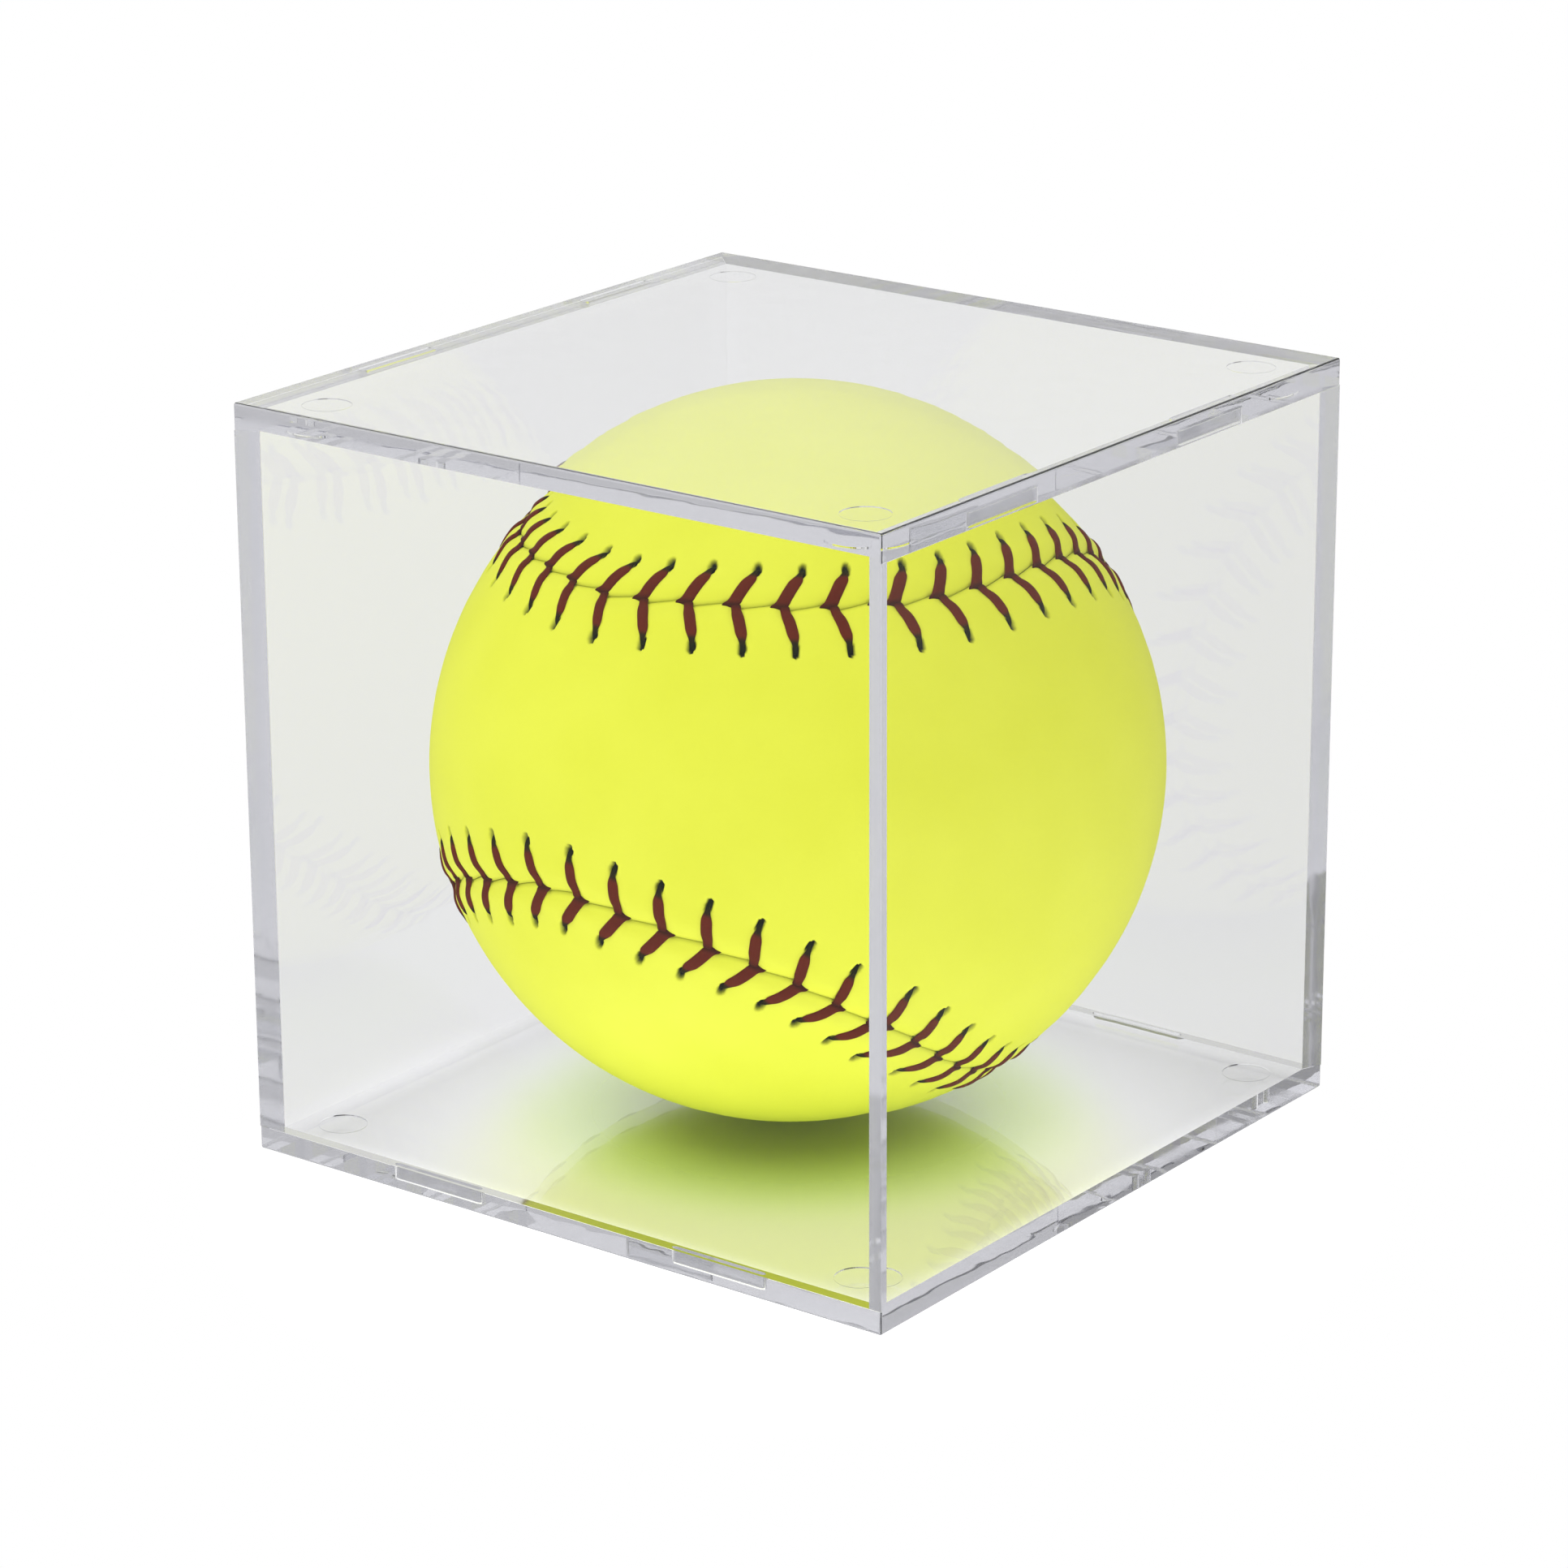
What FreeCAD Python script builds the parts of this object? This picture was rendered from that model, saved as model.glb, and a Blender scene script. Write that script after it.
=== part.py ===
"""Clear two-part display cube that holds a stitched softball.

The case is two U-shaped clear halves, turned a quarter turn to each other: the lower one is a
base plate with two side walls, the upper one a lid plate with the other two. Tabs on the free
end of every wall plug into blind slots in the other half's plate. The ball is a solid core in two
figure-eight leather panels, sewn along one closed seam.

Millimetres, +Z up, origin at the middle of the underside.
"""
import FreeCAD, Part
import bisect
import math
import os
from BOPTools import SplitAPI
from FreeCAD import Vector

# Ball
ball_diameter = 96.6
leather = 1.5
core_gap = 0.05
seam_waist_angle = 23.8
seam_opening = 0.3
welt_height = 0.2
welt_width = 3.6
ball_tilt = -108.0
ball_turn = -2.7

# Stitches: a leg on each side of the seam, its start and end measured ahead along the seam
stitch_count = 85
stitch_phase = 0.52
stitch_reach = 6.2
back_leg_start = -1.0
back_leg_end = 2.6
back_leg_width = 1.5
front_leg_start = 0.4
front_leg_end = 2.2
front_leg_width = 1.3
leg_end_width = 0.65
leg_taper = 0.5
leg_bend = 1.35
thread_height = 0.34
thread_crown = 0.6
thread_lift = 0.06

# Case
wall = 3.0
base_plate = 3.2
lid_plate = 3.7
running_clearance = 0.1
seat_gap = 0.35
head_gap = 0.55
joint_gap = 0.05
edge_round = 0.3
tab_length = 15.0
tab_width = 1.4
tab_height = 1.9
tab_inset = 0.8
tab_spacing = 46.8
tab_shift = 2.4
slot_clearance = 0.1
pin_mark_diameter = 6.6
pin_mark_depth = 0.15
pin_mark_inset = 5.6

# Sizes that follow
ball_radius = ball_diameter / 2
core_radius = ball_radius - leather - core_gap
seam_proud = welt_height + thread_lift + thread_height
inner_half = ball_radius + seam_proud + running_clearance
case_half = inner_half + wall
case_width = 2 * case_half
case_height = base_plate + seat_gap + ball_diameter + head_gap + lid_plate
ball_height = base_plate + seat_gap + ball_radius

# Fineness of the seam's curve, of the measure along it and of a stitch leg
seam_samples = 120
length_samples = 2000
leg_spans = 5
tolerance = 0.001

UP = Vector(0, 0, 1)
SEAM_END = 4 * math.pi
BACK_LEG = (back_leg_start, back_leg_end, back_leg_width)
FRONT_LEG = (front_leg_start, front_leg_end, front_leg_width)


def rounded_bar(length, width, height, grow=0.0):
    """Upright bar with half-round ends, lying along Y about the origin."""
    half_width = width / 2 + grow
    straight = length / 2 - width / 2
    corners = [Vector(half_width, -straight, 0), Vector(half_width, straight, 0),
               Vector(-half_width, straight, 0), Vector(-half_width, -straight, 0)]
    far_end = Vector(0, straight + half_width, 0)
    near_end = Vector(0, -straight - half_width, 0)
    outline = Part.Wire([
        Part.makeLine(corners[0], corners[1]),
        Part.Arc(corners[1], far_end, corners[2]).toShape(),
        Part.makeLine(corners[2], corners[3]),
        Part.Arc(corners[3], near_end, corners[0]).toShape(),
    ])
    return Part.Face(outline).extrude(UP * height)


def half_turn(shape):
    """The same shape on the opposite side of the case."""
    other = shape.copy()
    other.rotate(Vector(), UP, 180)
    return other


def tab_places():
    """Distances along a wall, from its middle, of its two tabs."""
    return [-tab_spacing / 2 - tab_shift, tab_spacing / 2 - tab_shift]


def make_plate(thickness):
    """Square plate with rounded outer edges, tab slots on two sides and four ejector-pin marks."""
    plate = Part.makeBox(case_width, case_width, thickness, Vector(-case_half, -case_half, 0))
    inner_level = thickness - tolerance
    outer_edges = [edge for edge in plate.Edges if edge.CenterOfMass.z < inner_level]
    plate = plate.makeFillet(edge_round, outer_edges)
    slot_depth = tab_height + slot_clearance
    cuts = []
    for place in tab_places():
        slot = rounded_bar(tab_length, tab_width, slot_depth, slot_clearance)
        slot.rotate(Vector(), UP, 90)
        tab_middle = case_half - tab_inset - tab_width / 2
        slot.translate(Vector(-place, -tab_middle, thickness - slot_depth))
        cuts += [slot, half_turn(slot)]
    reach = inner_half - pin_mark_inset
    for x in (-reach, reach):
        for y in (-reach, reach):
            floor = Vector(x, y, thickness - pin_mark_depth)
            cuts.append(Part.makeCylinder(pin_mark_diameter / 2, pin_mark_depth, floor))
    return plate.cut(Part.makeCompound(cuts))


def make_wall(bottom, top):
    """Side wall on +X with mitred upright edges and two tabs on its free end."""
    mitre = joint_gap / math.sqrt(2)
    outer = case_half - mitre
    inner = inner_half - mitre
    corners = [Vector(case_half, -outer, bottom), Vector(case_half, outer, bottom),
               Vector(inner_half, inner, bottom), Vector(inner_half, -inner, bottom)]
    outline = Part.makePolygon(corners + corners[:1])
    side = Part.Face(outline).extrude(UP * (top - bottom))
    tab_middle = case_half - tab_inset - tab_width / 2
    for place in tab_places():
        tab = rounded_bar(tab_length, tab_width, tab_height)
        tab.translate(Vector(tab_middle, place, top))
        side = side.fuse(tab)
    return side


def make_half(plate_thickness, other_plate):
    """One half of the case, standing on its plate with its walls on +X and -X."""
    wall_top = case_height - other_plate - joint_gap
    side = make_wall(plate_thickness, wall_top)
    return make_plate(plate_thickness).multiFuse([side, half_turn(side)]).removeSplitter()


def make_upper_half():
    """The other half, turned over about the level diagonal so that its walls are on +Y and -Y."""
    half = make_half(lid_plate, base_plate)
    half.rotate(Vector(0, 0, case_height / 2), Vector(1, -1, 0), 180)
    return half


def seam_direction(turn):
    """Direction from the ball's middle to the seam, for turn from 0 to SEAM_END."""
    waist = math.radians(seam_waist_angle)
    fall = math.pi / 2 - (math.pi / 2 - waist) * math.cos(turn)
    around = turn / 2 + waist * math.sin(2 * turn)
    ring = math.sin(fall)
    return Vector(ring * math.cos(around), ring * math.sin(around), math.cos(fall))


def seam_frame(turn):
    """Outward, along-seam and across-seam directions; across points into the first panel."""
    step = 1e-4
    outward = seam_direction(turn)
    along = (seam_direction(turn + step) - seam_direction(turn - step)).normalize()
    return outward, along, outward.cross(along).normalize()


def surface_direction(frame, ahead, aside):
    """Direction to the point that lies so far ahead along the seam and aside from it."""
    outward, along, across = frame
    return (outward * ball_radius + along * ahead + across * aside).normalize()


def seam_edge(aside, radius):
    """Closed curve at one side of the seam, at a radius from the ball's middle."""
    turns = [SEAM_END * i / seam_samples for i in range(seam_samples)]
    points = [surface_direction(seam_frame(turn), 0, aside) * radius for turn in turns]
    curve = Part.BSplineCurve()
    curve.interpolate(Points=points, PeriodicFlag=True)
    return curve.toShape()


def make_welt():
    """Rounded ridge along the first panel's edge, sunk into the leather."""
    aside = seam_opening / 2 + welt_width / 2
    half_width = welt_width / 2
    drop = ball_radius - math.sqrt(ball_radius ** 2 - half_width ** 2)
    root = drop + leather / 2
    outward, along, across = seam_frame(0)
    crest = surface_direction((outward, along, across), 0, aside)
    sideways = (across - crest * across.dot(crest)).normalize()

    def corner(offset, level):
        return crest * (ball_radius + level) + sideways * offset

    near, far = corner(-half_width, -drop), corner(half_width, -drop)
    near_root, far_root = corner(-half_width, -root), corner(half_width, -root)
    section = Part.Wire([
        Part.Arc(near, corner(0, welt_height), far).toShape(),
        Part.makeLine(far, far_root),
        Part.makeLine(far_root, near_root),
        Part.makeLine(near_root, near),
    ])
    sweep = Part.BRepOffsetAPI.MakePipeShell(Part.Wire([seam_edge(aside, ball_radius)]))
    sweep.setAuxiliarySpine(Part.Wire([seam_edge(aside, core_radius)]), True, 0)
    sweep.add(section, False, False)
    sweep.build()
    sweep.makeSolid()
    return sweep.shape()


def make_panel():
    """First leather panel: a waist and two lobes on the +Z side of the seam, with a raised edge."""
    bottom_radius = ball_radius - leather
    pole = Vector(-1, 0, 0)
    skin = Part.makeSphere(ball_radius, Vector(), pole)
    skin = skin.cut(Part.makeSphere(bottom_radius, Vector(), pole))
    aside = seam_opening / 2
    inner_edge = seam_edge(aside, bottom_radius - leather)
    outer_edge = seam_edge(aside, ball_radius + leather)
    seam_cut = Part.makeRuledSurface(inner_edge, outer_edge)
    span = 2 * ball_diameter
    level_cut = Part.makePlane(span, span, Vector(-span / 2, -span / 2, 0))
    pieces = SplitAPI.slice(skin, [seam_cut, level_cut], "Split").Solids
    waist = UP
    lobe_drop = math.sin(math.radians(seam_waist_angle))
    lobes = [Vector(0, side, -lobe_drop).normalize() for side in (-1, 1)]
    patches = []
    for direction in [waist] + lobes:
        probe = direction * (ball_radius - leather / 2)
        patches += [piece for piece in pieces if piece.isInside(probe, tolerance, True)]
    return patches[0].multiFuse(patches[1:] + [make_welt()])


def stitch_turns():
    """Places of the stitches on the seam, evenly spaced along its length."""
    turns = [SEAM_END * i / length_samples for i in range(length_samples + 1)]
    reached = [0.0]
    for a, b in zip(turns, turns[1:]):
        reached.append(reached[-1] + seam_direction(a).distanceToPoint(seam_direction(b)))
    pitch = reached[-1] / stitch_count
    for i in range(stitch_count):
        target = (i + stitch_phase) * pitch
        after = bisect.bisect(reached, target)
        share = (target - reached[after - 1]) / (reached[after] - reached[after - 1])
        yield turns[after - 1] + share * (turns[after] - turns[after - 1])


def welt_level(aside):
    """Height of the leather above the ball's round, at a distance from the seam."""
    half_width = welt_width / 2
    share = (abs(aside) - seam_opening / 2 - half_width) / half_width
    return welt_height * max(0.0, 1 - share ** 2)


def leg_edges(leg, share):
    """Places along the seam of a leg's two edges, at a share of its way from the seam to its end."""
    start, end, full_width = leg
    rest = 1 - share
    middle = end - (end - start) * rest ** leg_bend
    slope = (end - start) * leg_bend * rest ** (leg_bend - 1) / stitch_reach
    fullness = math.sin(math.pi / 2 * min(1.0, rest / leg_taper))
    width = leg_end_width + (full_width - leg_end_width) * fullness
    half_width = width / 2 * math.hypot(1, slope)
    return middle - half_width, middle + half_width


def stitch_ring(frame, edges, aside):
    """Corners of a stitch's section, narrower at its top, on the leather at a distance from the seam."""
    middle = (edges[0] + edges[1]) / 2
    half_width = (edges[1] - edges[0]) / 2
    bottom = ball_radius + welt_level(aside) + thread_lift
    top = bottom + thread_height
    corners = []
    for out, radius in ((-1, bottom), (1, bottom), (thread_crown, top), (-thread_crown, top)):
        corners.append(surface_direction(frame, middle + out * half_width, aside) * radius)
    return corners


def flat_face(corners):
    """Flat face inside a closed run of corners."""
    return Part.Face(Part.makePolygon(corners + corners[:1]))


def make_stitch(frame):
    """One V of thread: from its end on the first panel, over the seam, to its end on the second."""
    shares = [i / leg_spans for i in range(leg_spans, 0, -1)]
    rings = [stitch_ring(frame, leg_edges(BACK_LEG, share), stitch_reach * share) for share in shares]
    knee = leg_edges(BACK_LEG, 0)[0], leg_edges(FRONT_LEG, 0)[1]
    rings.append(stitch_ring(frame, knee, 0))
    for share in reversed(shares):
        rings.append(stitch_ring(frame, leg_edges(FRONT_LEG, share), -stitch_reach * share))
    faces = [flat_face(rings[0]), flat_face(rings[-1])]
    for near, far in zip(rings, rings[1:]):
        for i in range(len(near)):
            faces.append(flat_face([near[i - 1], near[i], far[i]]))
            faces.append(flat_face([near[i - 1], far[i], far[i - 1]]))
    return Part.makeSolid(Part.makeShell(faces))


def make_stitches():
    """The stitches all round the seam."""
    return Part.makeCompound([make_stitch(seam_frame(turn)) for turn in stitch_turns()])


def place_ball(shape):
    """Tilt a piece of the ball as it lies in the case, and set it over the base."""
    placed = shape.copy()
    placed.rotate(Vector(), Vector(1, 0, 0), ball_tilt)
    placed.rotate(Vector(), UP, ball_turn)
    placed.translate(UP * ball_height)
    return placed


def build():
    """Every piece by its name."""
    first_panel = make_panel()
    second_panel = first_panel.copy()
    second_panel.rotate(Vector(), Vector(1, 1, 0), 180)
    return {
        "lower_half": make_half(base_plate, lid_plate),
        "upper_half": make_upper_half(),
        "ball_core": place_ball(Part.makeSphere(core_radius)),
        "back_cover_panel": place_ball(first_panel),
        "front_cover_panel": place_ball(second_panel),
        "seam_stitches": place_ball(make_stitches()),
    }


os.makedirs("parts", exist_ok=True)
for node, shape in build().items():
    shape.exportStep("parts/" + node + ".step")
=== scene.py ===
"""Look of the clear display cube and of the stitched softball in it. Metres, in the frame of the model."""
import math

import bmesh
import bpy
import numpy as np
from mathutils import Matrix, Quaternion, Vector


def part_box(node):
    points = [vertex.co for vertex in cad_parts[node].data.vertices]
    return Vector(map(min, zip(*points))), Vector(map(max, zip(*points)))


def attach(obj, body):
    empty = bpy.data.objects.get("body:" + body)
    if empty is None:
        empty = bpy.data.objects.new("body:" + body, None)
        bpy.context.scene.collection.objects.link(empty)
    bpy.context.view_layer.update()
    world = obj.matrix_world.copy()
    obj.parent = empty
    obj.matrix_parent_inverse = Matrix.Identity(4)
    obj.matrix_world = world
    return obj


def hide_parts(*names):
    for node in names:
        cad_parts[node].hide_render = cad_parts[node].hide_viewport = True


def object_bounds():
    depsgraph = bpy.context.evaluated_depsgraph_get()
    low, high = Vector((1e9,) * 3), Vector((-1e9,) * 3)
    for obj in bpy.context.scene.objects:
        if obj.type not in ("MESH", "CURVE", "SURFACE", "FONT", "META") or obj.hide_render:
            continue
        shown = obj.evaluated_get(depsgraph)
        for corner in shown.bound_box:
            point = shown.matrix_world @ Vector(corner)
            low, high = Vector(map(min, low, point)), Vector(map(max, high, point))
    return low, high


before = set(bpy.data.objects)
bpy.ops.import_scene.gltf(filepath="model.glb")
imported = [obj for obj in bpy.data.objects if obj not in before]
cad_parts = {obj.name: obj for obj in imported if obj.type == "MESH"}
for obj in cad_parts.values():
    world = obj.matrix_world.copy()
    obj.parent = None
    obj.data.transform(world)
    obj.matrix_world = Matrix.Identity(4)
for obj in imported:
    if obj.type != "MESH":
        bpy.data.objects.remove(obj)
cad_low, cad_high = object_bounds()

MM = 0.001
WHITE = (1.0, 1.0, 1.0, 1)

# Ball, as in the solids
BALL_RADIUS = 48.3 * MM
LEATHER = 1.5 * MM
SEAM_WAIST = math.radians(23.8)
BALL_TILT = math.radians(-108.0)
BALL_TURN = math.radians(-2.7)
SEAM_END = 4 * math.pi
SEAM_SAMPLES = 6000

# Stitches: on each side of the seam, back panel 1 and front panel -1, a leg runs from it to a hole
STITCHES = 85
STITCH_PHASE = 0.52
STITCH_REACH = {1: 5.3 * MM, -1: 6.1 * MM}
LEG_START = {1: 0.0 * MM, -1: 0.4 * MM}
LEG_END = {1: 2.6 * MM, -1: 2.2 * MM}
LEG_BEND = {1: 1.1, -1: 1.4}
NEARBY_STITCHES = (-2, -1, 0, 1)

# Thread of a leg, with places as shares of the way from the seam to the hole
THREAD_WIDTH = {1: 1.6 * MM, -1: 1.5 * MM}
THREAD_SEAM_SHARE = {1: 1.05, -1: 0.7}
THREAD_SWELL_END = 0.32
THREAD_NECK_LENGTH = 0.3
THREAD_NECK_END = 0.92
THREAD_END_WIDTH = 0.65 * MM
THREAD_TIP = {1: 0.5 * MM, -1: 0.2 * MM}
THREAD_TIP_SPREAD = 0.07
THREAD_HEIGHT = 0.55 * MM
THREAD_LIFT = 0.3 * THREAD_HEIGHT
THREAD_FLATTEST = 0.5
THREAD_NEAR = -0.06
THREAD_RISEN = 0.05
THREAD_DIVES = 0.84
THREAD_FAR = 1.08
THREAD_SEAM_DEPTH = 0.5 * MM
THREAD_HOLE_DEPTH = 1.0 * MM
THREAD_SPANS = 22
THREAD_SIDES = 12

# Needle holes, with the rim and its blur as shares of the hole's half size. The hole mask sinks the leather
# and also paints it near black as painted shade
HOLE_WIDTH = 0.95 * MM
HOLE_LENGTH = 1.9 * MM
HOLE_DEPTH = 0.8 * MM
HOLE_RIM = 1.2
HOLE_RIM_BLUR = 0.3

# Leather beside the seam and under the thread
WELT_HEIGHT = 0.2 * MM
WELT_PLACE = 2.2 * MM
WELT_SPREAD = 1.9 * MM
DIP_DEPTH = 0.5 * MM
DIP_SPREAD = 1.5 * MM
VALLEY_DEPTH = 0.2 * MM
VALLEY_SPREAD = 0.3 * MM
# Painted shade: the seam's valley and the lip down in its gap are painted darker
VALLEY_PAINTED_SHADE = 0.25
LIP_PAINTED_SHADE = 0.7
GROOVE_DEPTH = 0.2 * MM
GROOVE_SPREAD = 1.0 * MM
GROOVE_RISE = 1 / 6
GROOVE_END = 1.1
GROOVE_FADE = 0.25
SEAM_GAP = 0.08 * MM
SEAM_STEP = 0.85 * MM
SEAM_STEP_SPREAD = 3.0 * MM
SEAM_PULL = 0.24

# Mesh of a panel: distances from the seam where its fineness changes, and the spans up to each
ROWS_PER_STITCH = 24
BAND_LIMITS = (1.4 * MM, 4.0 * MM, 7.4 * MM, 10.0 * MM)
BAND_SPANS = (8, 8, 18, 4)
RIB_POINTS = 36

# Faces inside the walls' thickness, which the mould leaves a little satin
WALL = 3.0 * MM
WALL_MIDDLE = cad_high[0] - WALL / 2
CASE_HEIGHT = cad_high[2]
OUTER_SKIN = 0.1 * MM
JOINT_ROUGHNESS = 0.06

# Table: a shadow under the ball, partly real and partly painted by masking its glow off, painted
# yellow-green bounce light from the ball, a painted pool of light before it, a half mirror under the case,
# white away
FLOOR_RADIUS = 6.0
FLOOR_SIDES = 96
FLOOR_DROP = 0.1 * MM
CASE_EDGE = (44 * MM, 52 * MM)
SHADE_REACH = (15 * MM, 40 * MM)
PAINTED_BOUNCE_REACH = (20 * MM, 46 * MM)
POOL_MIDDLE = (13 * MM, -18 * MM, 0)
POOL_TINT_REACH = (32 * MM, 52 * MM)
POOL_GLOW_REACH = (32 * MM, 80 * MM)
POOL_GLOW = 1.7
MIRROR_SHARE = 0.5
MIRRORED_LOSS = 0.78
MIRRORED_DEPTH = 1.5
MIRRORED_DEPTH_REACH = 0.6
FLOOR_BOUNCE = 0.55

# Studio: light from above the horizon, and a backdrop that is dimmer on the camera's side
SKY_RISE = (0.0, 0.4)
SKY_LEVEL = 0.84
STUDIO_FRONT = (0.6, -0.8, 0.0)
STUDIO_FADE = (-0.2, 0.5)
STUDIO_LEVELS = (0.8, 0.44)
LAMP_AIM = Vector((0, 0, 0.05))

# Camera, fitted to the corners of the case in a square picture
CAMERA_PLACE = Vector((0.42775, -0.56883, 0.29046))
CAMERA_AIM = Vector((-0.00056, -0.00192, 0.04869))
CAMERA_ROLL = math.radians(-0.3)
CAMERA_LENS = 128.16
CAMERA_SENSOR = 36

# Bounces that light needs in the case's clear edges
ALL_BOUNCES = 96
CLEAR_BOUNCES = 64


def unit(vectors):
    """The vectors at length one."""
    return vectors / np.linalg.norm(vectors, axis=-1, keepdims=True)


def ramp(values):
    """The values held between 0 and 1."""
    return np.clip(values, 0, 1)


def ease(values):
    """The values held between 0 and 1, with a soft start and end."""
    held = ramp(values)
    return held * held * (3 - 2 * held)


def hump(values, spread):
    """A bell that is 1 at zero and falls off over the spread."""
    return np.exp(-(values / spread) ** 2)


def seam_direction(turn):
    """Directions from the ball's middle to its seam, in the ball's own axes."""
    fall = math.pi / 2 - (math.pi / 2 - SEAM_WAIST) * np.cos(turn)
    around = turn / 2 + SEAM_WAIST * np.sin(2 * turn)
    ring = np.sin(fall)
    return np.stack([ring * np.cos(around), ring * np.sin(around), np.cos(fall)], axis=-1)


def seam_frame(turn):
    """Outward, along-seam and across-seam directions."""
    step = 1e-4
    outward = seam_direction(turn)
    along = unit(seam_direction(turn + step) - seam_direction(turn - step))
    return outward, along, np.cross(outward, along)


def turns_at(shares):
    """Turns of the seam's points at these shares of its length."""
    turns = np.linspace(0, SEAM_END, SEAM_SAMPLES)
    steps = np.linalg.norm(np.diff(seam_direction(turns), axis=0), axis=1)
    reached = np.concatenate([[0], np.cumsum(steps)])
    return np.interp(np.asarray(shares) % 1.0, reached / reached[-1], turns)


def surface_direction(frames, ahead, aside):
    """Directions to points so far ahead along the seam and aside from it."""
    outward, along, across = frames
    ahead, aside = np.asarray(ahead)[..., None], np.asarray(aside)[..., None]
    return unit(outward * BALL_RADIUS + along * ahead + across * aside)


def leg_ahead(side, share):
    """How far ahead of its stitch a leg is, at a share of its way from the seam to the hole."""
    start, end = LEG_START[side], LEG_END[side]
    return start + (end - start) * (1 - (1 - ramp(share)) ** LEG_BEND[side])


def seam_shift(share):
    """How far the seam lies aside of its mean line: pulled over at each stitch, then easing back."""
    past = (share * STITCHES - STITCH_PHASE + SEAM_PULL / 2) % 1.0
    return SEAM_STEP * (0.5 - np.minimum(past / SEAM_PULL, (1 - past) / (1 - SEAM_PULL)))


stitch_frames = seam_frame(turns_at((np.arange(STITCHES) + STITCH_PHASE) / STITCHES))


def pillow(aside):
    """Height over the ball's round of leather that swells beside the seam and is drawn down into it."""
    return WELT_HEIGHT * hump(aside - WELT_PLACE, WELT_SPREAD) - DIP_DEPTH * hump(aside, DIP_SPREAD)


def leather_shape(directions, aside, seam_share, side):
    """Height of the leather over the ball's round, and the painted shade in the seam and in the holes."""
    valley = hump(aside, VALLEY_SPREAD)
    height = pillow(aside) - VALLEY_DEPTH * valley
    dark = VALLEY_PAINTED_SHADE * valley
    nearest = np.floor(seam_share * STITCHES).astype(int)
    for offset in NEARBY_STITCHES:
        outward, along, across = (axis[(nearest + offset) % STITCHES] for axis in stitch_frames)
        depth = np.sum(directions * outward, axis=-1)
        ahead = BALL_RADIUS * np.sum(directions * along, axis=-1) / depth
        beside = BALL_RADIUS * side * np.sum(directions * across, axis=-1) / depth
        share = beside / STITCH_REACH[side]
        under = hump(ahead - leg_ahead(side, share), GROOVE_SPREAD)
        pressed = ramp(share / GROOVE_RISE) * ramp((GROOVE_END - share) / GROOVE_FADE)
        height -= GROOVE_DEPTH * under * pressed
        hole_ahead = (ahead - LEG_END[side]) / (HOLE_WIDTH / 2)
        hole_beside = (beside - STITCH_REACH[side]) / (HOLE_LENGTH / 2)
        hole = ramp((HOLE_RIM - np.hypot(hole_ahead, hole_beside)) / HOLE_RIM_BLUR)
        height -= HOLE_DEPTH * hole
        # Painted shade: each hole is painted near black
        dark = np.maximum(dark, hole)
    return height, dark


def ball_to_frame(points):
    """Points in the ball's own axes, as the ball lies in the case."""
    low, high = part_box("ball_core")
    turn = Quaternion((0, 0, 1), BALL_TURN) @ Quaternion((1, 0, 0), BALL_TILT)
    return points @ np.array(turn.to_matrix()).T + np.array((low + high) / 2)


def add_piece(name, points, faces, material):
    """A smooth mesh object of the scene."""
    mesh = bpy.data.meshes.new(name)
    mesh.from_pydata(points.tolist(), [], faces)
    mesh.shade_smooth()
    piece = bpy.data.objects.new(name, mesh)
    bpy.context.scene.collection.objects.link(piece)
    mesh.materials.append(material)
    return piece


def face_outward(mesh):
    """Turn the faces of a mesh the same way, outward."""
    work = bmesh.new()
    work.from_mesh(mesh)
    bmesh.ops.recalc_face_normals(work, faces=work.faces)
    work.to_mesh(mesh)
    work.free()


def set_attribute(mesh, name, values):
    """Give each vertex of a mesh a value that its material reads."""
    attribute = mesh.attributes.new(name, "FLOAT", "POINT")
    attribute.data.foreach_set("value", np.asarray(values, np.float32))


def strip_faces(first, second):
    """Faces between two rows of vertex numbers, with triangles where a row's vertices are one."""
    faces = []
    for a, b, c, d in zip(first, first[1:], second[1:], second):
        corners = list(dict.fromkeys((a, b, c, d)))
        if len(corners) > 2:
            faces.append(corners)
    return faces


def band_offsets():
    """Distances from the seam of a panel's band of fine rows."""
    starts = (SEAM_GAP / 2,) + BAND_LIMITS[:-1]
    spans = zip(starts, BAND_LIMITS, BAND_SPANS)
    runs = [np.linspace(start, end, count, endpoint=False) for start, end, count in spans]
    return np.concatenate(runs + [BAND_LIMITS[-1:]])


def panel_band(side):
    """Points of a panel's fine band along the seam, from its lip inward, and the painted shade of each."""
    rows = STITCHES * ROWS_PER_STITCH
    shares = np.arange(rows) / rows
    frames = tuple(axis[:, None, :] for axis in seam_frame(turns_at(shares)))
    offsets = band_offsets()
    aside = np.broadcast_to(offsets, (rows, len(offsets)))
    shift = seam_shift(shares)[:, None] * hump(aside, SEAM_STEP_SPREAD)
    directions = surface_direction(frames, np.zeros_like(aside), side * aside + shift)
    seam_share = np.broadcast_to(shares[:, None], aside.shape)
    height, dark = leather_shape(directions, aside, seam_share, side)
    band = directions * (BALL_RADIUS + height)[..., None]
    # The lip down in the gap gets painted shade
    lip = directions[:, :1] * (BALL_RADIUS - LEATHER)
    lip_painted_shade = np.full((rows, 1), LIP_PAINTED_SHADE)
    return np.concatenate([lip, band], axis=1), np.concatenate([lip_painted_shade, dark], axis=1)


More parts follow.
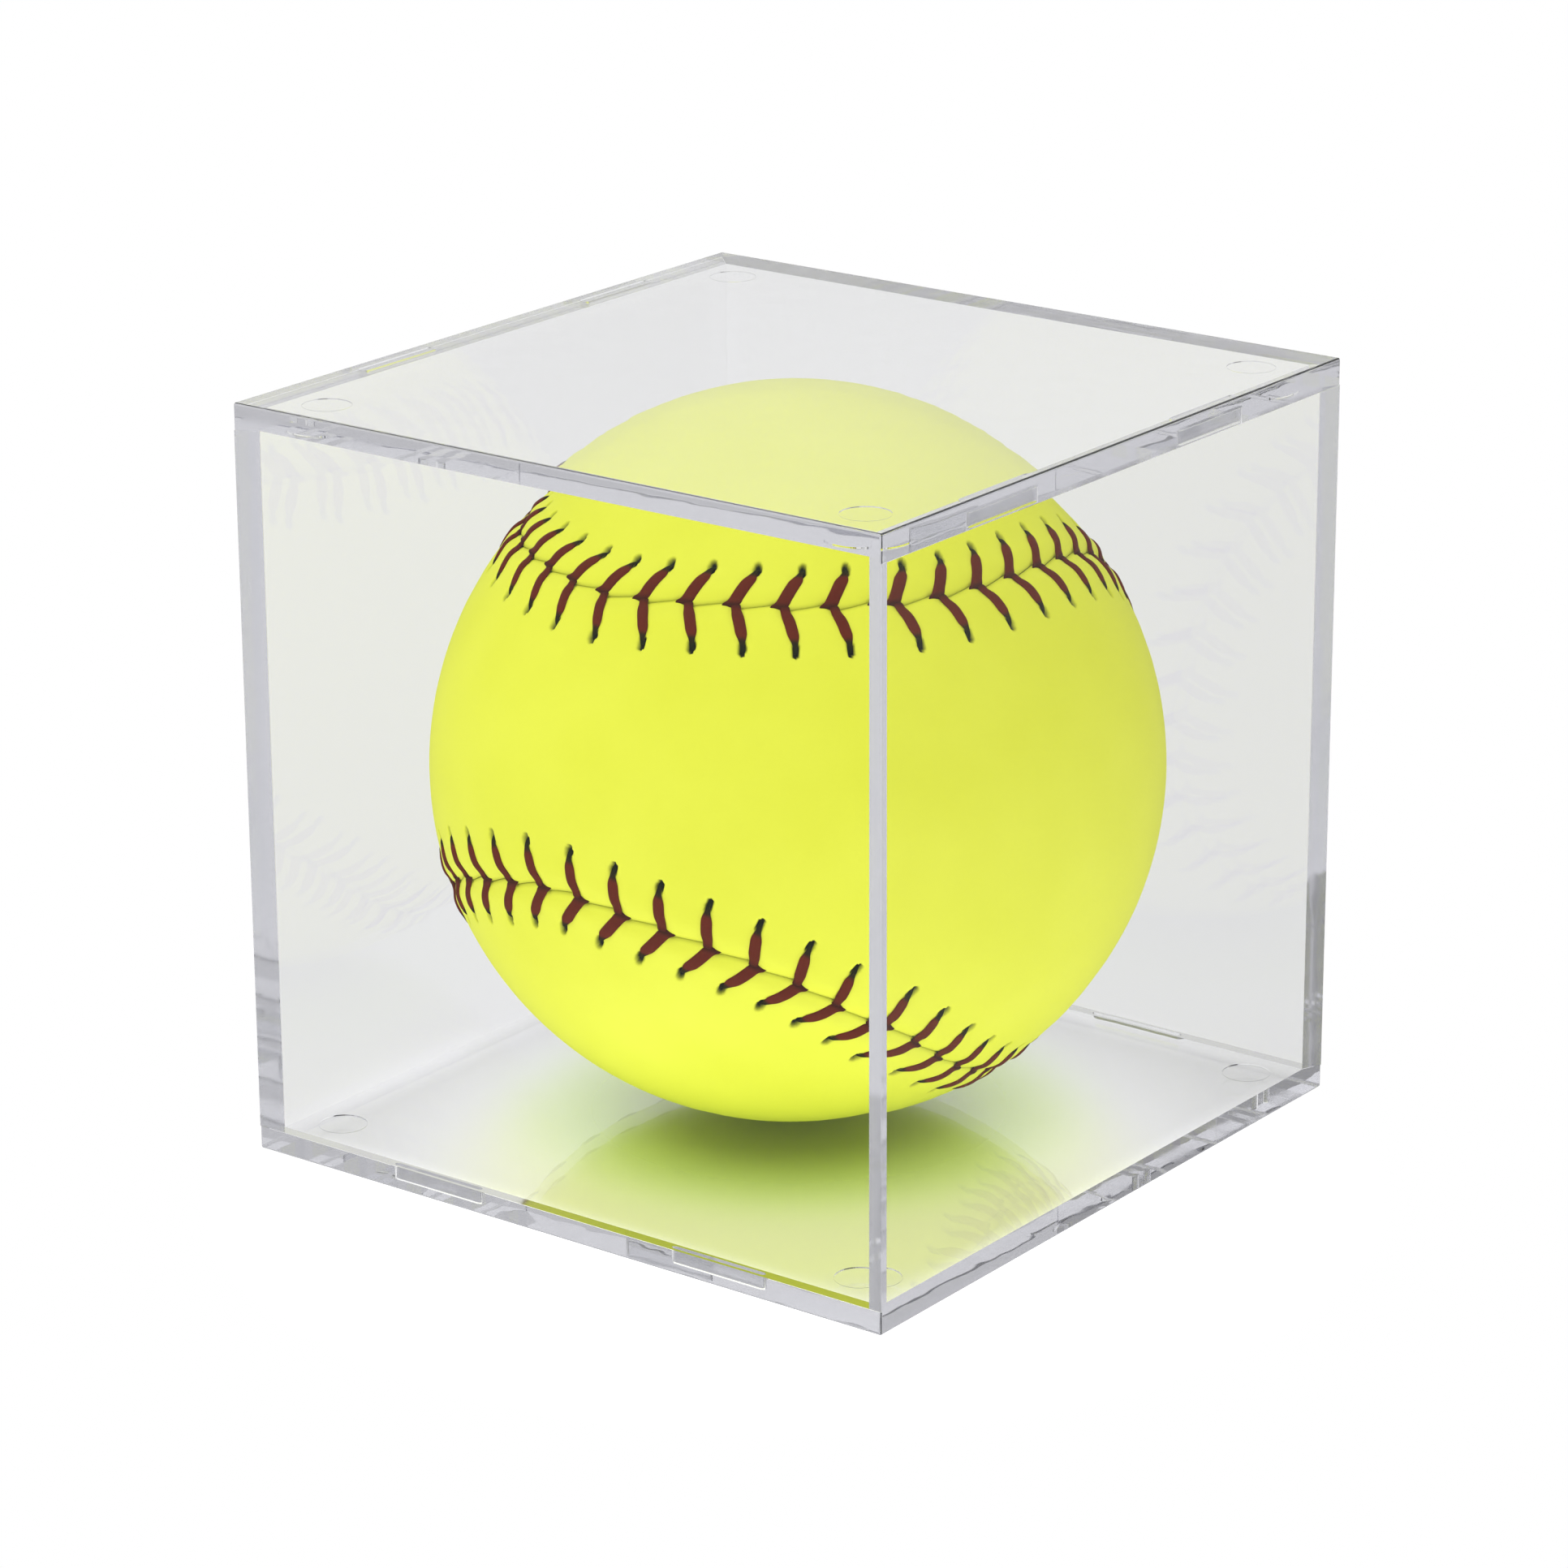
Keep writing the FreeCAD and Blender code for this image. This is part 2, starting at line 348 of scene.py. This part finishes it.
def panel_ribs(side, ring, rim, total):
    """Points and faces of a panel inside its band, in ribs across it.

    ring holds the vertex numbers of the band's inner edge, rim the directions to it, and total is the
    number of vertices so far. The two halves of the panel share the rib at its waist.
    """
    rows = len(ring)
    quarter = rows // 4
    weights = (np.arange(1, RIB_POINTS + 1) / (RIB_POINTS + 1))[:, None]
    tips = (quarter, 3 * quarter) if side == 1 else (0, 2 * quarter)
    points, faces, waist = [], [], {}
    for tip in tips:
        previous = None
        for step in range(quarter, -1, -1):
            a, b = (tip - step) % rows, (tip + step) % rows
            if step == 0:
                row = [ring[a]] * (RIB_POINTS + 2)
            elif (b, a) in waist:
                row = waist[(b, a)][::-1]
            else:
                points.append(unit(rim[a] + (rim[b] - rim[a]) * weights) * BALL_RADIUS)
                row = [ring[a], *range(total, total + RIB_POINTS), ring[b]]
                total += RIB_POINTS
                if step == quarter:
                    waist[(a, b)] = row
            if previous:
                faces += strip_faces(previous, row)
            previous = row
    return points, faces


def make_panel(name, side, material):
    """Leather panel on one side of the seam: a fine band along the seam, and ribs across the rest."""
    band, dark = panel_band(side)
    rows, columns = dark.shape
    numbers = np.arange(dark.size).reshape(rows, columns).tolist()
    faces = []
    for i in range(rows):
        faces += strip_faces(numbers[i], numbers[(i + 1) % rows])
    ring = [row[-1] for row in numbers]
    ribs, rib_faces = panel_ribs(side, ring, unit(band[:, -1]), dark.size)
    points = np.concatenate([band.reshape(-1, 3)] + ribs)
    panel = add_piece(name, ball_to_frame(points), faces + rib_faces, material)
    face_outward(panel.data)
    # The shade attribute carries the painted shade of the seam and holes
    shade = np.zeros(len(points))
    shade[:dark.size] = dark.ravel()
    set_attribute(panel.data, "shade", shade)
    return panel


def thread_section(side, shares):
    """Middle and half width, measured along the seam, of a leg at shares of its way to the hole."""
    middle = leg_ahead(side, shares)
    slope = np.gradient(middle, shares * STITCH_REACH[side])
    taper = ease((THREAD_NECK_END - shares) / THREAD_NECK_LENGTH)
    at_seam = THREAD_SEAM_SHARE[side]
    swell = at_seam + (1 - at_seam) * ease(shares / THREAD_SWELL_END)
    width = THREAD_END_WIDTH + (THREAD_WIDTH[side] * swell - THREAD_END_WIDTH) * taper
    tip = THREAD_TIP[side] * hump(shares, THREAD_TIP_SPREAD)
    return middle - side * tip / 2, width / 2 * np.hypot(1, slope) + tip / 2


def leg_rings(frames, side, shares):
    """Rings round a leg of thread that rises from the seam, lies on the leather and dives into its hole."""
    middle, half_width = thread_section(side, shares)
    aside = side * STITCH_REACH[side] * shares
    level = pillow(np.abs(aside)) - GROOVE_DEPTH * ramp(shares / GROOVE_RISE)
    into_hole = ramp((shares - THREAD_DIVES) / (THREAD_FAR - THREAD_DIVES)) ** 2
    into_seam = ramp((THREAD_RISEN - shares) / (THREAD_RISEN - THREAD_NEAR)) ** 2
    sunk = THREAD_HOLE_DEPTH * into_hole + THREAD_SEAM_DEPTH * into_seam
    radius = BALL_RADIUS + level + THREAD_LIFT - sunk
    flatness = np.clip(half_width / (THREAD_WIDTH[side] / 2), THREAD_FLATTEST, 1)
    half_height = THREAD_HEIGHT / 2 * flatness
    angles = 2 * math.pi * np.arange(THREAD_SIDES) / THREAD_SIDES
    ahead = middle[:, None] + half_width[:, None] * np.cos(angles)
    directions = surface_direction(frames, ahead, np.broadcast_to(aside[:, None], ahead.shape))
    return directions * (radius[:, None] + half_height[:, None] * np.sin(angles))[..., None]


def make_stitches(name, material):
    """Waxed thread: a leg on each side of the seam for every stitch, closed at its ends."""
    shares = np.linspace(THREAD_NEAR, THREAD_FAR, THREAD_SPANS + 1)
    leg_size = len(shares) * THREAD_SIDES
    points, faces = [], []
    for number in range(STITCHES):
        frames = tuple(axis[number] for axis in stitch_frames)
        for side in (1, -1):
            first = len(points) * leg_size
            points.append(leg_rings(frames, side, shares).reshape(-1, 3))
            rings = (first + np.arange(leg_size)).reshape(-1, THREAD_SIDES).tolist()
            for a, b in zip(rings, rings[1:]):
                faces += strip_faces(a + a[:1], b + b[:1])
            faces += [rings[0], rings[-1]]
    stitches = add_piece(name, ball_to_frame(np.concatenate(points)), faces, material)
    face_outward(stitches.data)
    set_attribute(stitches.data, "share", np.tile(np.repeat(shares, THREAD_SIDES), len(points)))
    return stitches


def feed(tree, source, socket):
    """Link a socket to another one, or give it a plain value."""
    if isinstance(source, bpy.types.NodeSocket):
        tree.links.new(source, socket)
    else:
        socket.default_value = source


def add_node(tree, kind, inputs=None, **settings):
    """A new shader node with its settings, and with its inputs fed."""
    node = tree.nodes.new("ShaderNode" + kind)
    for name, setting in settings.items():
        setattr(node, name, setting)
    for name, source in (inputs or {}).items():
        feed(tree, source, node.inputs[name])
    return node


def calculate(tree, operation, *terms):
    """Result of a math node on sockets or numbers."""
    return add_node(tree, "Math", dict(enumerate(terms)), operation=operation).outputs[0]


def between(tree, value, span, levels=(0.0, 1.0), kind="SMOOTHSTEP"):
    """Result that goes from one level to the other while the value crosses the span."""
    inputs = {
        "Value": value,
        "From Min": span[0],
        "From Max": span[1],
        "To Min": levels[0],
        "To Max": levels[1],
    }
    return add_node(tree, "MapRange", inputs, interpolation_type=kind).outputs["Result"]


def blend(tree, factor, first, second):
    """Colour that goes from the first to the second with the factor."""
    inputs = {"Factor": factor, "A": first, "B": second}
    return add_node(tree, "Mix", inputs, data_type="RGBA").outputs["Result"]


def mix_shaders(tree, factor, first, second):
    """Shader that goes from the first to the second with the factor."""
    return add_node(tree, "MixShader", {0: factor, 1: first, 2: second}).outputs[0]


def noise(tree, place, scale, detail=2.0):
    """Value of a noise in the object's own space."""
    inputs = {"Vector": place, "Scale": scale, "Detail": detail}
    return add_node(tree, "TexNoise", inputs).outputs["Fac"]


def bumped(tree, height, strength, distance):
    """Normal of a surface with fine relief."""
    inputs = {"Height": height, "Strength": strength, "Distance": distance}
    return add_node(tree, "Bump", inputs).outputs["Normal"]


def colour_at(tree, factor, stops):
    """Colour at the factor's place between stops, each a position and a colour."""
    node = add_node(tree, "ValToRGB", {"Fac": factor})
    elements = node.color_ramp.elements
    for element, (position, colour) in zip(elements, (stops[0], stops[-1])):
        element.position = position
        element.color = colour
    for position, colour in stops[1:-1]:
        elements.new(position).color = colour
    return node.outputs["Color"]


def vertex_value(tree, name):
    """Value that the mesh gives at each vertex."""
    return add_node(tree, "Attribute", attribute_name=name).outputs["Fac"]


def object_place(tree):
    """Place in the object's own space, which is the frame's."""
    return add_node(tree, "TexCoord").outputs["Object"]


def square_reach(tree, place):
    """The larger of the distances from the middle along X and Y, and the height."""
    size = add_node(tree, "VectorMath", {0: place}, operation="ABSOLUTE").outputs["Vector"]
    axes = add_node(tree, "SeparateXYZ", {0: size}).outputs
    return calculate(tree, "MAXIMUM", axes["X"], axes["Y"]), axes["Z"]


def new_material(name):
    """An empty node material, with its node tree and output."""
    material = bpy.data.materials.new(name)
    material.use_nodes = True
    tree = material.node_tree
    tree.nodes.clear()
    return material, tree, add_node(tree, "OutputMaterial")


def joint_faces(tree, place):
    """Value that is 1 on the faces within the walls' thickness, where the two mouldings meet."""
    reach, height = square_reach(tree, place)
    in_wall = calculate(tree, "COMPARE", reach, WALL_MIDDLE, WALL / 2 - OUTER_SKIN)
    in_case = calculate(tree, "COMPARE", height, CASE_HEIGHT / 2, CASE_HEIGHT / 2 - OUTER_SKIN)
    return calculate(tree, "MULTIPLY", in_wall, in_case)


def acrylic_material():
    """Clear moulded acrylic, faintly scuffed and rippled, that lets light through to what it holds."""
    material, tree, output = new_material("clear_acrylic")
    place = object_place(tree)
    wear = noise(tree, place, scale=900, detail=4)
    scuffs = between(tree, wear, span=(0.62, 0.8), levels=(0.0, 0.06), kind="LINEAR")
    ripple = noise(tree, place, scale=70)
    acrylic = add_node(tree, "BsdfPrincipled", {
        "Base Color": (0.965, 0.967, 0.973, 1),
        "IOR": 1.49,
        "Transmission Weight": 1.0,
        "Roughness": calculate(tree, "MULTIPLY_ADD", joint_faces(tree, place), JOINT_ROUGHNESS, scuffs),
        "Normal": bumped(tree, ripple, strength=1.0, distance=0.015 * MM),
    })
    clear = add_node(tree, "BsdfTransparent", {"Color": (0.97, 0.97, 0.97, 1)})
    path = add_node(tree, "LightPath").outputs
    lighting = calculate(tree, "MAXIMUM", path["Is Shadow Ray"], path["Is Diffuse Ray"])
    surface = mix_shaders(tree, lighting, acrylic.outputs[0], clear.outputs[0])
    grey = add_node(tree, "VolumeAbsorption", {"Color": (0.45, 0.45, 0.52, 1), "Density": 6.0})
    feed(tree, surface, output.inputs["Surface"])
    feed(tree, grey.outputs[0], output.inputs["Volume"])
    return material


def leather_material():
    """Optic-yellow leather: fine grain, faint mottling, and painted shade, olive in the seam and near black
    in the holes.
    """
    material, tree, output = new_material("yellow_leather")
    place = object_place(tree)
    yellow = colour_at(tree, noise(tree, place, scale=60, detail=3), (
        (0.3, (0.85, 0.91, 0.045, 1)),
        (0.7, (0.89, 0.95, 0.06, 1)),
    ))
    grain = add_node(tree, "TexVoronoi", {"Vector": place, "Scale": 1400}).outputs["Distance"]
    relief = calculate(tree, "ADD", grain, noise(tree, place, scale=700, detail=4))
    skin = add_node(tree, "BsdfPrincipled", {
        # The shade attribute blends in painted shade: olive in the seam, near black in the holes
        "Base Color": blend(tree, vertex_value(tree, "shade"), yellow, (0.013, 0.022, 0.001, 1)),
        "Roughness": 0.55,
        "Specular IOR Level": 0.25,
        "Normal": bumped(tree, relief, strength=0.25, distance=0.06 * MM),
    })
    feed(tree, skin.outputs[0], output.inputs["Surface"])
    return material


def thread_material():
    """Red-brown waxed thread, with painted shade: dark where it rises from the seam and near black where it
    dives into the leather.
    """
    material, tree, output = new_material("waxed_thread")
    # Painted shade: the thread is darker where it rises from the seam and near black where it dives into
    # its hole
    red = colour_at(tree, vertex_value(tree, "share"), (
        (0.0, (0.06, 0.010, 0.004, 1)),
        (0.12, (0.125, 0.015, 0.005, 1)),
        (0.72, (0.14, 0.016, 0.005, 1)),
        (0.82, (0.026, 0.015, 0.001, 1)),
        (1.0, (0.008, 0.014, 0.001, 1)),
    ))
    fibre = noise(tree, object_place(tree), scale=2500, detail=3)
    thread = add_node(tree, "BsdfPrincipled", {
        "Base Color": red,
        "Roughness": 0.5,
        "Specular IOR Level": 0.05,
        "Normal": bumped(tree, fibre, strength=0.4, distance=0.08 * MM),
    })
    feed(tree, thread.outputs[0], output.inputs["Surface"])
    return material


def core_material():
    """Pale pressed fibre of the ball's core."""
    material, tree, output = new_material("fibre_core")
    fibre = colour_at(tree, noise(tree, object_place(tree), scale=400), (
        (0.0, (0.45, 0.36, 0.22, 1)),
        (1.0, (0.62, 0.52, 0.36, 1)),
    ))
    core = add_node(tree, "BsdfPrincipled", {"Base Color": fibre, "Roughness": 0.9})
    feed(tree, core.outputs[0], output.inputs["Surface"])
    return material


def floor_glow(tree, place, radius, away):
    """Glow of the table: white, with painted yellow-green bounce light near the ball and a painted pool of
    brighter light before it.

    Its mirror images in the case's walls are dimmed, and it lights the ball a little more than it shows.
    """
    inputs = {0: place, 1: POOL_MIDDLE}
    from_pool = add_node(tree, "VectorMath", inputs, operation="DISTANCE").outputs["Value"]
    # Painted pool of yellowish light before the ball, and painted yellow-green bounce light close round it
    whiter = calculate(tree, "MAXIMUM", between(tree, from_pool, POOL_TINT_REACH), away)
    painted_pool_tint = blend(tree, whiter, (0.96, 1.0, 0.56, 1), WHITE)
    colour = blend(tree, between(tree, radius, PAINTED_BOUNCE_REACH), (0.72, 1.0, 0.2, 1), painted_pool_tint)
    path = add_node(tree, "LightPath").outputs
    mirrored = calculate(tree, "COMPARE", path["Glossy Depth"], MIRRORED_DEPTH, MIRRORED_DEPTH_REACH)
    dimmed = calculate(tree, "MULTIPLY_ADD", mirrored, -MIRRORED_LOSS, 1.0)
    # Painted pool of light: the glow is brighter before the ball
    near = between(tree, from_pool, POOL_GLOW_REACH, (POOL_GLOW, 1.0))
    shown = calculate(tree, "MULTIPLY", dimmed, near)
    strength = calculate(tree, "MULTIPLY_ADD", path["Is Diffuse Ray"], FLOOR_BOUNCE, shown)
    return add_node(tree, "Emission", {"Color": colour, "Strength": strength}).outputs[0]


def floor_material():
    """Table with painted light: shaded under the ball, partly for real and partly painted by masking its
    glow off there, tinted yellow-green as painted bounce light, half a mirror under the case, and white
    away from it.
    """
    material, tree, output = new_material("studio_floor")
    place = object_place(tree)
    away = between(tree, square_reach(tree, place)[0], CASE_EDGE)
    radius = add_node(tree, "VectorMath", {0: place}, operation="LENGTH").outputs["Value"]
    # Matt part tinted yellow-green as painted bounce light from the ball
    matt = add_node(tree, "BsdfDiffuse", {"Color": (0.7, 0.86, 0.2, 1)})
    sheen = add_node(tree, "BsdfGlossy", {"Color": (0.9, 0.9, 0.9, 1), "Roughness": 0.16})
    # Painted shadow: the glow is masked off round the ball's contact, leaving the matt part that the lamps
    # light and the ball shades
    unshaded = calculate(tree, "MAXIMUM", away, between(tree, radius, SHADE_REACH))
    lit = mix_shaders(tree, unshaded, matt.outputs[0], floor_glow(tree, place, radius, away))
    mirror = calculate(tree, "MULTIPLY_ADD", away, -MIRROR_SHARE, MIRROR_SHARE)
    feed(tree, mix_shaders(tree, mirror, lit, sheen.outputs[0]), output.inputs["Surface"])
    return material


def make_floor():
    """A wide round floor just under the case."""
    angles = 2 * math.pi * np.arange(FLOOR_SIDES) / FLOOR_SIDES
    level = np.full(FLOOR_SIDES, -FLOOR_DROP)
    rim = np.stack([FLOOR_RADIUS * np.cos(angles), FLOOR_RADIUS * np.sin(angles), level], axis=-1)
    floor = add_piece("studio_floor", rim, [list(range(FLOOR_SIDES))], floor_material())


def make_world():
    """Soft light from above the horizon, and a backdrop that the camera sees as white."""
    world = bpy.data.worlds.new("studio")
    bpy.context.scene.world = world
    world.use_nodes = True
    tree = world.node_tree
    tree.nodes.clear()
    output = add_node(tree, "OutputWorld")
    place = add_node(tree, "TexCoord").outputs["Generated"]
    height = add_node(tree, "SeparateXYZ", {0: place}).outputs["Z"]
    sky = between(tree, height, SKY_RISE, (0.0, SKY_LEVEL))
    inputs = {0: place, 1: STUDIO_FRONT}
    facing = add_node(tree, "VectorMath", inputs, operation="DOT_PRODUCT").outputs["Value"]
    backdrop = between(tree, facing, STUDIO_FADE, STUDIO_LEVELS)
    path = add_node(tree, "LightPath").outputs
    seen = calculate(tree, "MAXIMUM", backdrop, path["Is Camera Ray"])
    white = add_node(tree, "Background", {"Color": WHITE, "Strength": seen})
    light = add_node(tree, "Background", {"Color": WHITE, "Strength": sky})
    surface = mix_shaders(tree, path["Is Diffuse Ray"], white.outputs[0], light.outputs[0])
    feed(tree, surface, output.inputs["Surface"])


def make_lamp(name, place, size, power):
    """A square soft lamp that points at the ball."""
    data = bpy.data.lights.new(name, "AREA")
    data.size = size
    data.energy = power
    lamp = bpy.data.objects.new(name, data)
    lamp.location = place
    lamp.rotation_mode = "QUATERNION"
    lamp.rotation_quaternion = (LAMP_AIM - Vector(place)).to_track_quat("-Z", "Y")
    lamp.visible_glossy = False
    lamp.visible_transmission = False
    bpy.context.scene.collection.objects.link(lamp)


def make_camera():
    """The photograph's camera."""
    data = bpy.data.cameras.new("camera")
    data.sensor_width = CAMERA_SENSOR
    data.lens = CAMERA_LENS
    camera = bpy.data.objects.new("camera", data)
    camera.location = CAMERA_PLACE
    camera.rotation_mode = "QUATERNION"
    level = (CAMERA_AIM - CAMERA_PLACE).to_track_quat("-Z", "Y")
    camera.rotation_quaternion = level @ Quaternion((0, 0, 1), CAMERA_ROLL)
    bpy.context.scene.collection.objects.link(camera)
    bpy.context.scene.camera = camera


def set_material(node, material):
    """Give a carried-over solid its material."""
    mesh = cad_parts[node].data
    mesh.materials.clear()
    mesh.materials.append(material)


acrylic = acrylic_material()
set_material("lower_half", acrylic)
set_material("upper_half", acrylic)
set_material("ball_core", core_material())

leather = leather_material()
for node, side in (("back_cover_panel", 1), ("front_cover_panel", -1)):
    panel = make_panel(node + "_leather", side, leather)
    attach(panel, "ball")
    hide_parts(node)
stitches = make_stitches("seam_thread", thread_material())
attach(stitches, "ball")
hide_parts("seam_stitches")

make_floor()
make_world()
make_lamp("left_lamp", place=(-0.4, -0.3, 0.8), size=0.6, power=1.85)
make_lamp("front_lamp", place=(0.25, -0.5, 0.9), size=0.5, power=1.85)
make_camera()
bpy.context.scene.view_settings.view_transform = "Standard"
bpy.context.scene.cycles.max_bounces = ALL_BOUNCES
bpy.context.scene.cycles.glossy_bounces = CLEAR_BOUNCES
bpy.context.scene.cycles.transmission_bounces = CLEAR_BOUNCES
